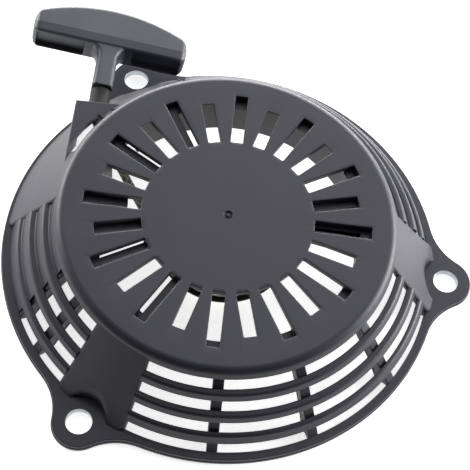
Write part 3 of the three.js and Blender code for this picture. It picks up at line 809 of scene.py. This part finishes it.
class STARTER_OT_reel(bpy.types.Operator):
    """Turn the rope reel with its spring cup and pawl pins, and set the thrust washer over it"""

    bl_idname = "starter.reel"
    bl_label = "Reel"

    def execute(self, context):
        (low, high), bore, hub, rim, cup = GROOVE, POST + 0.3, 15, 30, 24.6
        piece = solid("rope_reel", turned([
            (bore, 12.4, 0.4), (rim, 12.4, 0.7), (rim, low, 0.5), (hub, low, 0.8),
            (hub, high, 0.8), (rim, high, 0.5), (rim, high + 1.6, 0.6), (26.5, high + 1.6, 1),
            (26.5, 34.4, 0.5), (cup, 34.4, 0.4), (cup, 25.3, 0.6), (bore, 25.3, 0.4),
        ], step=3))
        pin = turned([(0, 6.5, 0), (2.2, 6.5, 0.5), (2.2, 13, 0), (0, 13, 0)], step=10)
        join(piece, *[shifted(pin, *polar(PAWL_PIVOT_RADIUS, angle)) for angle in PAWL_PIVOTS])
        room = lathe([(0, 11), (3.6, 11), (3.6, 12.3), (3.1, 12.9), (3.1, 18.6), (0, 18.6)], step=10)
        cut(piece, shifted(room, *REEL_KNOT))
        # shallow moulded pockets that lighten the lower flange between hub and rim
        corners = [polar(17.5, -12), polar(27.5, -9), polar(27.5, 9), polar(17.5, 12)]
        pocket = slab(rounded([(x, y, 0.8) for x, y in corners]), 11.5, 13.1, 0, -0.2)
        cut(piece, *[spun(pocket, angle) for angle in (0, 45, 135, 180, 225, 315)])
        dress(piece, "moulded_nylon_reel", "reel_plastic", "reel", "reel")

        washer = solid("thrust_washer", turned(oblong(bore, 11.4, 34.75, 35.3, 0.15), step=5))
        dress(washer, "zinc_plated_steel", "spring_steel", "case", "reel_thrust_washer")
        return {"FINISHED"}


class STARTER_OT_spring(bpy.types.Operator):
    """Coil the flat recoil spring from the post out to the reel's cup"""

    bl_idname = "starter.spring"
    bl_label = "Recoil spring"

    def execute(self, context):
        turns, inner, outer = 6.5, 9.2, 23.4
        count = round(turns * 40)
        shares = [i / count for i in range(count + 1)]
        path = [(*polar(inner + (outer - inner) * share, 360 * turns * share), 29.85)
                for share in shares]
        strip = rounded(oblong(-0.3, 0.3, -4, 4, 0.12), 45)
        piece = solid("flat_spiral_spring", sweep(path, strip))
        dress(piece, "rolled_spring_steel", "spring_steel", "case", "recoil_spring")
        return {"FINISHED"}


def follower_peg(pivot, share):
    """Place of a pawl's follower peg in the turning ratchet guide, at a share of its travel."""
    x, y = polar(PAWL_PIVOT_RADIUS, pivot)
    lead = degrees(atan2(PAWL_PEG[1], PAWL_PEG[0]))
    dx, dy = polar(hypot(*PAWL_PEG), pivot + PAWL_FOLD + PAWL_SWING * share + lead)
    return Matrix.Rotation(radians(-GUIDE_TURN * share), 2) @ Vector((x + dx, y + dy))


def along_track(track, half):
    """Outline of a round-ended slot that follows a track."""
    first, last = (Vector(track[1]) - Vector(track[0])), (Vector(track[-1]) - Vector(track[-2]))
    start, end = degrees(atan2(first.y, first.x)), degrees(atan2(last.y, last.x))
    right, left = beside(track, half), beside(track, -half)
    return [*right, *arc(half, end - 90, end + 90, 10, track[-1])[1:-1], *left[::-1],
            *arc(half, start + 90, start + 270, 10, track[0])[1:-1]]


class STARTER_OT_ratchet(bpy.types.Operator):
    """Fit the pawls, the guide that throws them out, its friction spring and the centre screw"""

    bl_idname = "starter.ratchet"
    bl_label = "Ratchet"

    def execute(self, context):
        nose = rounded([(5, -3.2, 1), (12.4, -3, 0.6), (13.7, -1.6, 0.6), (12.8, 1.4, 0.7),
                        (6, 3.6, 1.5), (0.7, 3.94, 0)])[:-1]
        pivot_hole = lathe([(0, 6), (2.9, 6), (2.9, 6.5), (2.5, 6.95), (2.5, 13), (0, 13)], step=10)
        peg = turned([(0, 3.3, 0), (1.3, 3.3, 0.3), (1.3, 7, 0), (0, 7, 0)], step=15)
        for number, angle in enumerate(PAWL_PIVOTS, 1):
            pawl = solid(f"pawl_arm_{number}", slab(arc(4, 80, 280, 16) + nose, 6.7, 12, 0.35, 0.35))
            cut(pawl, pivot_hole)
            join(pawl, shifted(peg, *PAWL_PEG))
            pawl.data.transform(Matrix.Translation((*polar(PAWL_PIVOT_RADIUS, angle), 0))
                                @ Matrix.Rotation(radians(angle + PAWL_FOLD), 4, "Z"))
            dress(pawl, "moulded_nylon_natural", "ratchet_plastic", f"pawl_{number}", f"pawl_{number}")

        guide = solid("cam_plate", turned([
            (2.9, 3.6, 0.2), (21, 3.6, 0.5), (21, 6.1, 0.5),
            (7.4, 6.1, 0.5), (7.4, 12.3, 0.4), (2.9, 12.3, 0.2),
        ], step=4))
        for angle in PAWL_PIVOTS:
            track = [tuple(follower_peg(angle, i / 10)) for i in range(11)]
            cut(guide, slab(along_track(track, 1.9), 3, 7, -0.3, 0))
        dress(guide, "moulded_nylon_natural", "ratchet_plastic", "ratchet_guide", "ratchet_guide")

        turns, count = 2.6, 90
        path = [(*polar(8.5, 20 + 360 * turns * i / count), 7.6 + 3.6 * i / count)
                for i in range(count + 1)]
        coil = solid("friction_coil", sweep(path, arc(0.6, 0, 360, 12)[:-1]))
        dress(coil, "rolled_spring_steel", "spring_steel", "ratchet_guide", "friction_spring")

        head = rounded([(*polar(5.2, 60 * i), 0.15) for i in range(6)], 30)
        screw = solid("hexagon_screw", slab(head, 0.4, 2.6, 0.4, 0.1))
        join(screw, turned([(0, 2.4, 0), (2.5, 2.4, 0), (2.5, 24, 0.5), (0, 24, 0)], step=10))
        dish = [(0, 0.9, 0), (2.6, 0.8, 0.2), (3.0, 0.3, 0.2), (3.0, 0, 0), (0, 0, 0)]
        cut(screw, turned(dish, step=10))
        dress(screw, "zinc_plated_steel", "zinc_steel", "case", "centre_screw")
        section = [(2.85, 2.8, 0.1), (7.2, 2.8, 0.2), (7.2, 3.4, 0.1), (2.85, 3.4, 0.1)]
        washer = solid("plain_washer", turned(section, step=6))
        dress(washer, "zinc_plated_steel", "zinc_steel", "case", "screw_washer")
        return {"FINISHED"}


# ---- rope


def smooth_path(stops, spacing=0.6):
    """Points close together on a smooth curve through the stops."""
    stops = [Vector(p) for p in stops]
    ends = [stops[0] * 2 - stops[1], *stops, stops[-1] * 2 - stops[-2]]
    path = []
    for a, b, c, d in zip(ends, ends[1:], ends[2:], ends[3:]):
        count = max(2, round((c - b).length / spacing))
        for i in range(count):
            t = i / count
            path.append(0.5 * (2 * b + (c - a) * t + (2 * a - 5 * b + 4 * c - d) * t**2
                               + (3 * b - a - 3 * c + d) * t**3))
    return [*path, stops[-1]]


def rope(name, path, radius, body, *nodes):
    """Braided rope along a path: its texture runs with its length and its girth."""
    sides = 16
    piece = solid(name, sweep(path, arc(radius, 0, 360, sides)[:-1]))
    run = [0.0]
    for here, there in zip(path, path[1:]):
        run.append(run[-1] + (Vector(there) - Vector(here)).length)
    layer = piece.data.uv_layers.new(name="lay")
    for face in piece.data.polygons:
        corners = [piece.data.loops[i].vertex_index for i in face.loop_indices]
        rounds = [c % sides for c in corners]
        wraps = len(corners) == 4 and max(rounds) - min(rounds) > sides / 2
        for loop, corner, turn in zip(face.loop_indices, corners, rounds):
            girth = turn + (sides if wraps and turn < sides / 2 else 0)
            layer.data[loop].uv = (run[corner // sides], girth / sides)
    return dress(piece, "braided_nylon", "starter_rope", body, *nodes)


def knot_path(centre, size, along):
    """A short thumb knot: a trefoil drawn tight round a line."""
    turn = Vector((0, 0, 1)).rotation_difference(Vector(along)).to_matrix()
    points = []
    for i in range(61):
        t = 2 * pi * i / 61
        x, y = polar(size * (1 + 0.45 * cos(3 * t)), degrees(2 * t))
        points.append(Vector(centre) + turn @ Vector((x, y, size * 0.5 * sin(3 * t))))
    return points


def coil_path(rope_radius):
    """Rope wound on the reel: two turns side by side, layer on layer, from the hub outwards."""
    low, high = GROOVE[0] + rope_radius + 0.25, GROOVE[1] - rope_radius - 0.25
    path, angle = [], 0.0
    layers = [17.3, 20.9, 24.0, 26.65]
    for number, (radius, after) in enumerate(zip(layers, [*layers[1:], layers[-1]])):
        first, last = (low, high) if number % 2 == 0 else (high, low)
        for i in range(80):
            share = i / 80
            climb = min(1, max(0, (share - 0.38) / 0.24))
            lift = min(1, max(0, (share - 0.9) / 0.1))
            path.append((*polar(radius + (after - radius) * lift, angle - 720 * share),
                         first + (last - first) * climb))
        angle -= 720
    return path


class STARTER_OT_rope(bpy.types.Operator):
    """Wind the rope on the reel and lead it through the eyelet into the handle"""

    bl_idname = "starter.rope"
    bl_label = "Rope"

    def execute(self, context):
        sizes = in_mm(context.scene.starter_rope)
        radius, end, height = sizes.radius, sizes.guide_end, sizes.pull_height
        rope("wound_rope", coil_path(radius - 0.05), radius - 0.05, "reel", "rope_coil")
        knot = knot_path((*REEL_KNOT, 15.6), 0.85, (0, 0, 1))
        rope("reel_knot", knot, 1.15, "reel", "reel_rope_knot")

        eyelet = Vector((PULL_X, end - 6, height))
        flat = Vector(eyelet.xy)
        tangent = 26.9  # radius at which the rope leaves the coil
        heading = atan2(-flat.y, -flat.x) - asin(tangent / flat.length)
        reach = sqrt(flat.length_squared - tangent**2)
        start = Vector((*(flat + Vector(polar(reach, degrees(heading)))), sum(GROOVE) / 2))
        mouth = Vector((eyelet.x, end - 2, height))
        stops = [start.lerp(eyelet, 0.22), start.lerp(eyelet, 0.5), start.lerp(eyelet, 0.94),
                 mouth - Vector((0, 2, 0)), mouth]
        rope("inner_rope", smooth_path(stops), radius, "case", "rope_run")

        free = [mouth + Vector((0, 0.3 * i, 0)) for i in range(1, 27)]
        lead = rope("free_rope", free, radius, None, "rope_lead")
        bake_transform(lead)

        collar = turned([(2.4, 0, 0.5), (5, 0, 0.4), (5, 1.5, 0.4), (3.9, 1.5, 0.1), (3.9, 3.9, 0.3),
                         (2.6, 3.9, 0.4)], step=9)
        piece = solid("wire_eyelet", moved(collar, pull_axis(end - 4.1, height)))
        dress(piece, "zinc_plated_steel", "zinc_steel", "case", "rope_eyelet")
        return {"FINISHED"}


# ---- handle


def bar_section(handle, x, drawn_in):
    """Section of the handle's bar at a place along it: domed back, creased front."""
    back = -21.6 + sqrt(76**2 - x**2) - drawn_in
    top, front = handle.bar_half - drawn_in, 33.5 + drawn_in
    return [(x, y, z) for y, z in rounded([
        (back, top, 2.6), (38.2, top, 0.8), (front, top - 1.0, 1.5), (front, -top + 0.8, 1.6),
        (front + 1.2, -top, 1.6), (back, -top, 2.6),
    ], count=5)]


def handle_bar(handle):
    half, ends = handle.span / 2, 3.4
    flat = half - ends
    places = [half - d for d in (0, 0.15, 0.5, 1, 1.7, 2.5, ends)]
    middle = [-flat + 2 * flat * i / 24 for i in range(1, 24)]
    loops = []
    for x in [*(-x for x in places), *middle, *places[::-1]]:
        d = min(half - abs(x), ends)
        loops.append(bar_section(handle, x, ends - sqrt(ends**2 - (ends - d) ** 2)))
    return loft(loops)


def handle_stem(handle):
    """Stem that flares into the bar."""
    half, fillet, thick = handle.stem_half, handle.fillet, 6
    stations = [(11.2, half, 5.7), (11.6, half + 0.15, thick)]
    for a in range(0, 91, 9):
        flare = fillet * (1 - cos(radians(a)))
        stations.append((35 - fillet + fillet * sin(radians(a)), half + 0.15 + flare, thick))
    stations.append((40, half + fillet, thick))
    return loft([[(x, y, z) for x, z in rounded(oblong(wide, -wide, high, -high, 2.4), count=5)]
                 for y, wide, high in stations])


def finger_recess(side):
    """Moulded recess in the bar's finger side, left or right of the stem."""
    outline = rounded(oblong(11.6 * side, 34.4 * side, -5.6, 4.4, 1.2)[::side])
    levels = [(32, -0.4), (33.55, -0.4), (33.8, -0.1), (34.3, 0), (35.6, 0), (36, 0.4)]
    return loft([[(x, y, z) for x, z in inset(outline, d)] for y, d in levels])


class STARTER_OT_handle(bpy.types.Operator):
    """Mould the pull handle, with its sleeve, washer, knot and the rope inside it"""

    bl_idname = "starter.handle"
    bl_label = "Pull handle"

    def execute(self, context):
        handle, sizes = in_mm(context.scene.starter_handle), in_mm(context.scene.starter_rope)
        rolled = Matrix.Rotation(radians(HANDLE_ROLL), 4, "Y")
        place = Matrix.Translation((PULL_X, sizes.guide_end + 0.3, sizes.pull_height)) @ rolled
        lay = Matrix.Rotation(-pi / 2, 4, "X")  # turned shapes lie along +Y

        grip = solid("grip", handle_bar(handle))
        join(grip, handle_stem(handle))
        cut(grip, finger_recess(1), finger_recess(-1))
        bore = lathe([(0, 5), (2.4, 5), (2.4, 45.5), (5, 45.5), (5, 53), (5.8, 56), (5.8, 60), (0, 60)],
                     step=7.5)
        cut(grip, moved(bore, lay))
        grip.data.transform(place)
        dress(grip, "moulded_polypropylene_charcoal", "grip_plastic", "handle", "handle_grip")

        sleeve = turned([(2.4, 0, 0.2), (4.1, 0, 0.8), (4.7, 1.4, 0.8), (4.7, 10.9, 0.4),
                         (2.4, 10.9, 0.2)], step=6)
        piece = solid("nose_sleeve", moved(sleeve, place @ lay))
        dress(piece, "moulded_rubber_black", "sleeve_rubber", "handle", "handle_sleeve")
        washer = turned(oblong(2.3, 4.6, 45.8, 46.6, 0.2), step=8)
        piece = solid("knot_washer", moved(washer, place @ lay))
        dress(piece, "zinc_plated_steel", "zinc_steel", "handle", "handle_washer")

        tail = [place @ Vector((0, 6 + 0.5 * i, 0)) for i in range(82)]
        rope("held_rope", tail, sizes.radius, "handle", "rope_tail")
        knot = [place @ p for p in knot_path((0, 49.9, 0), 1.35, (0, 1, 0))]
        rope("end_knot", knot, 1.3, "handle", "handle_rope_knot")
        return {"FINISHED"}


# ---- stage


def card(name, shade):
    """White card on a light table: matt, with a faint fibre."""
    made, tree, place = blank(name)
    fibre = add(tree, "TexNoise", {"Vector": place, "Scale": per_mm(1.5), "Detail": 4})
    mixed = add(tree, "Mix", {"Factor": fibre, "A": tint(shade, 0.985), "B": tint(shade)}, **COLOUR)
    return coat(made, {"Base Color": mixed, "Roughness": 0.9, "Emission Color": (1, 1, 1, 1),
                       "Emission Strength": 0.75})


def soft_light(name, place, aim, size, power):
    lamp = bpy.data.lights.new(name, "AREA")
    lamp.shape = "RECTANGLE"
    lamp.size, lamp.size_y = size
    lamp.energy = power
    holder = bpy.data.objects.new(name, lamp)
    holder.location = place
    holder.rotation_euler = (Vector(aim) - Vector(place)).to_track_quat("-Z", "Y").to_euler()
    bpy.context.scene.collection.objects.link(holder)


def bright_room(name, dark, bright):
    """Surroundings of an open-fronted white booth: bright behind and above, dark in front."""
    world = bpy.data.worlds.new(name)
    world.use_nodes = True
    tree = world.node_tree
    way = add(tree, "SeparateXYZ", {"Vector": add(tree, "TexCoord").outputs["Generated"]})
    light = add(tree, "MapRange", {"Value": way.outputs["Y"], "From Min": -0.6, "From Max": 0.35,
                                   "To Min": dark, "To Max": bright}, **SMOOTH)
    backdrop = tree.nodes["Background"]
    backdrop.inputs["Color"].default_value = (1, 1, 1, 1)
    tree.links.new(light.outputs["Result"], backdrop.inputs["Strength"])
    return world


class STARTER_OT_stage(bpy.types.Operator):
    """Set the floor, the soft lights and the camera"""

    bl_idname = "starter.stage"
    bl_label = "Stage"

    def execute(self, context):
        scene = context.scene
        disc = [polar(3000, a) for a in range(0, 360, 5)]
        floor = solid("floor", loft([[(*point, z) for point in disc] for z in (-8, -0.1)]))
        floor.data.transform(Matrix.Scale(0.001, 4))
        floor.data.materials.append(card("white_card", scene.starter_finishes.floor))

        scene.world = bright_room("studio", dark=0.03, bright=0.62)
        soft_light("left", (-1.1, 0.7, 0.3), (-0.1, 0, 0), (0.8, 0.5), 14)
        soft_light("back", (0, 1.5, 0.22), (0, 0.05, 0), (2.4, 0.4), 56)
        soft_light("right", (1.1, 0.35, 0.3), (0.1, 0, 0), (0.8, 0.6), 22)
        soft_light("top", (0.2, 0.7, 1.2), (0, 0, 0), (0.8, 0.8), 2.5)
        scene.view_settings.view_transform = "Standard"

        right, up = Vector((0.99857, -0.05338, 0)), Vector((0.0464, 0.8675, 0.4953))
        back = right.cross(up)
        roll = radians(10.04)
        across = right * cos(roll) + up * sin(roll)
        upward = up * cos(roll) - right * sin(roll)
        lens = bpy.data.cameras.new("camera")
        lens.lens, lens.sensor_width = 100.45, 36
        lens.clip_start, lens.clip_end = 0.01, 20
        camera = bpy.data.objects.new("camera", lens)
        camera.matrix_world = Matrix((across, upward, back)).transposed().to_4x4()
        camera.location = (-0.0110, -0.2877, 0.5266)
        scene.collection.objects.link(camera)
        scene.camera = camera
        return {"FINISHED"}


class STARTER_PT_panel(bpy.types.Panel):
    """Pieces of the starter"""

    bl_idname = "STARTER_PT_panel"
    bl_label = "Recoil Starter"
    bl_space_type = "VIEW_3D"
    bl_region_type = "UI"
    bl_category = "Starter"

    def draw(self, context):
        for group in GROUPS:
            box = self.layout.box()
            box.label(text=GROUPS[group].__doc__)
            for name in GROUPS[group].__annotations__:
                box.prop(getattr(context.scene, group), name)
        for operator in OPERATORS:
            self.layout.operator(operator.bl_idname)


OPERATORS = (
    STARTER_OT_stage,
    STARTER_OT_case,
    STARTER_OT_bushes,
    STARTER_OT_reel,
    STARTER_OT_spring,
    STARTER_OT_ratchet,
    STARTER_OT_rope,
    STARTER_OT_handle,
)
CLASSES = (*GROUPS.values(), *OPERATORS, STARTER_PT_panel)


def register():
    for made in CLASSES:
        bpy.utils.register_class(made)
    for name, group in GROUPS.items():
        setattr(bpy.types.Scene, name, bpy.props.PointerProperty(type=group))


def unregister():
    for name in GROUPS:
        delattr(bpy.types.Scene, name)
    for made in reversed(CLASSES):
        bpy.utils.unregister_class(made)


def main():
    register()
    for operator in OPERATORS:
        getattr(bpy.ops.starter, operator.bl_idname.split(".")[1])()


if __name__ == "__main__":
    main()
